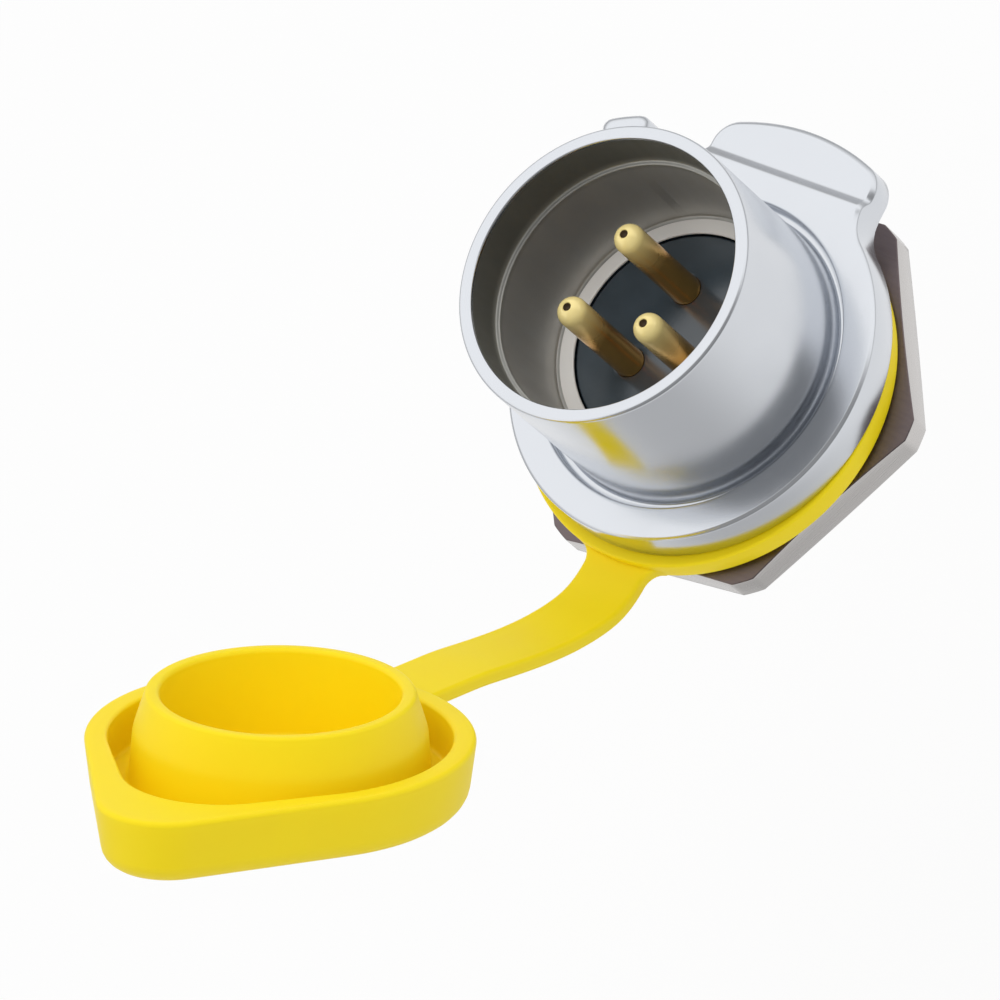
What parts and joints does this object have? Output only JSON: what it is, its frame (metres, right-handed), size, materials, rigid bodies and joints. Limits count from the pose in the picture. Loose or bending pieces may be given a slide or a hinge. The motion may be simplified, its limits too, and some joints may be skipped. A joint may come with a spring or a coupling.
{
  "type": "panel mount waterproof connector",
  "caption": "Sealed circular panel receptacle: chrome shroud with pins in a black insulator, eared flange, panel nut, and a yellow tethered sealing cap lying open.",
  "frame": {"origin": "centre of the panel seat, on the mating axis in the plane of the gasket ring's rear face", "axes": "+Z along the mating axis towards the front, +Y towards the flange's ear, the cap's strap leaves towards -Y"},
  "size_m": [0.0282, 0.0646, 0.0489],
  "materials": {
    "plated_zinc": "satin chrome plate",
    "plated_nut": "bright nickel plate",
    "black_nylon": "matte moulded",
    "gold_plate": "gold plated brass",
    "black_rubber": "matte",
    "spring_steel": "phosphated",
    "yellow_silicone": "satin moulded"
  },
  "bodies": {
    "root": {"shell": "plated_zinc", "insulator": "black_nylon", "backplate": "black_nylon", "contact_1": "gold_plate", "contact_2": "gold_plate", "contact_3": "gold_plate", "insert_seal": "black_rubber", "retaining_ring": "spring_steel", "panel_nut": "plated_nut", "sealing_cap": "yellow_silicone"}
  },
  "joints": []
}
